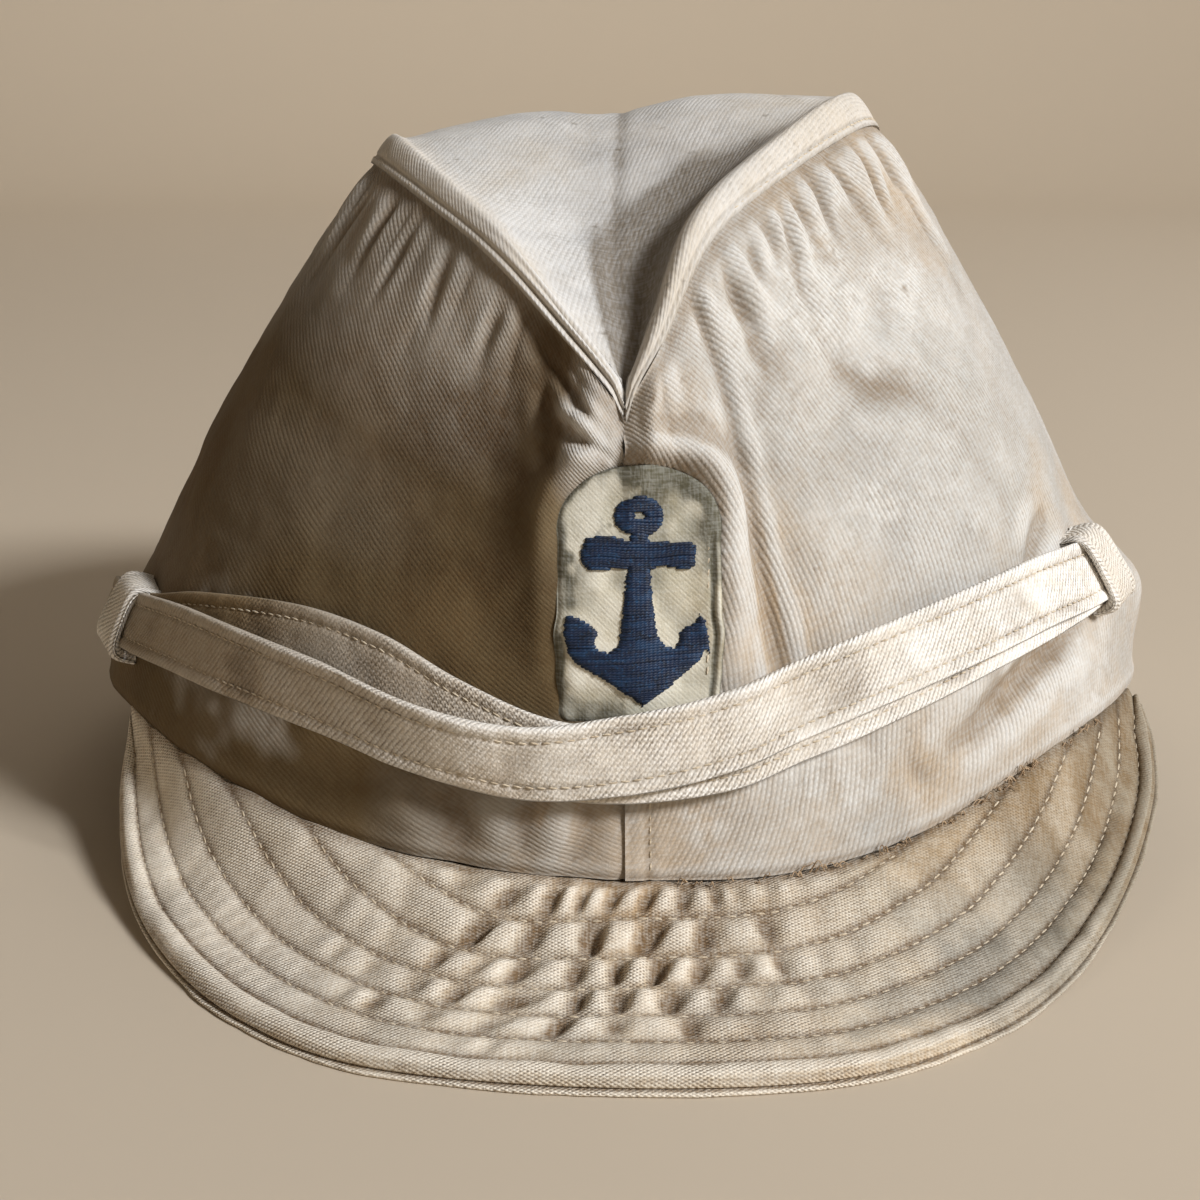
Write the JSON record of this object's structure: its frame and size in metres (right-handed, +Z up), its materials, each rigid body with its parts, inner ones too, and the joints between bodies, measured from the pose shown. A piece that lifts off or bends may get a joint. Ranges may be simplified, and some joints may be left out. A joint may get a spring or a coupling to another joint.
{
  "type": "field cap",
  "caption": "Soft cotton field cap with a creased top panel, gathered sides, a quilted peak, two chin straps and an arched anchor patch, resting on a surface.",
  "frame": {"origin": "middle of the cap's footprint on the surface it rests on", "axes": "+Z up, -Y the way the peak points, +X to the right as seen from the front"},
  "size_m": [0.1921, 0.2196, 0.1213],
  "materials": {
    "cap_cloth": "washed off-white to khaki cotton twill, matt",
    "top_cloth": "faded grey-white cotton twill, matt",
    "peak_cloth": "tan cotton canvas, quilted with rows of stitching, matt",
    "patch_cloth": "grey-green cotton twill, matt",
    "anchor_thread": "navy satin embroidery thread, slightly shiny"
  },
  "bodies": {
    "root": {"side_panel_left": "cap_cloth", "side_panel_right": "cap_cloth", "top_panel": "top_cloth", "peak": "peak_cloth", "strap_front": "cap_cloth", "strap_back": "cap_cloth", "keeper_left": "cap_cloth", "keeper_right": "cap_cloth", "badge_patch": "patch_cloth", "anchor": "anchor_thread"}
  },
  "joints": []
}
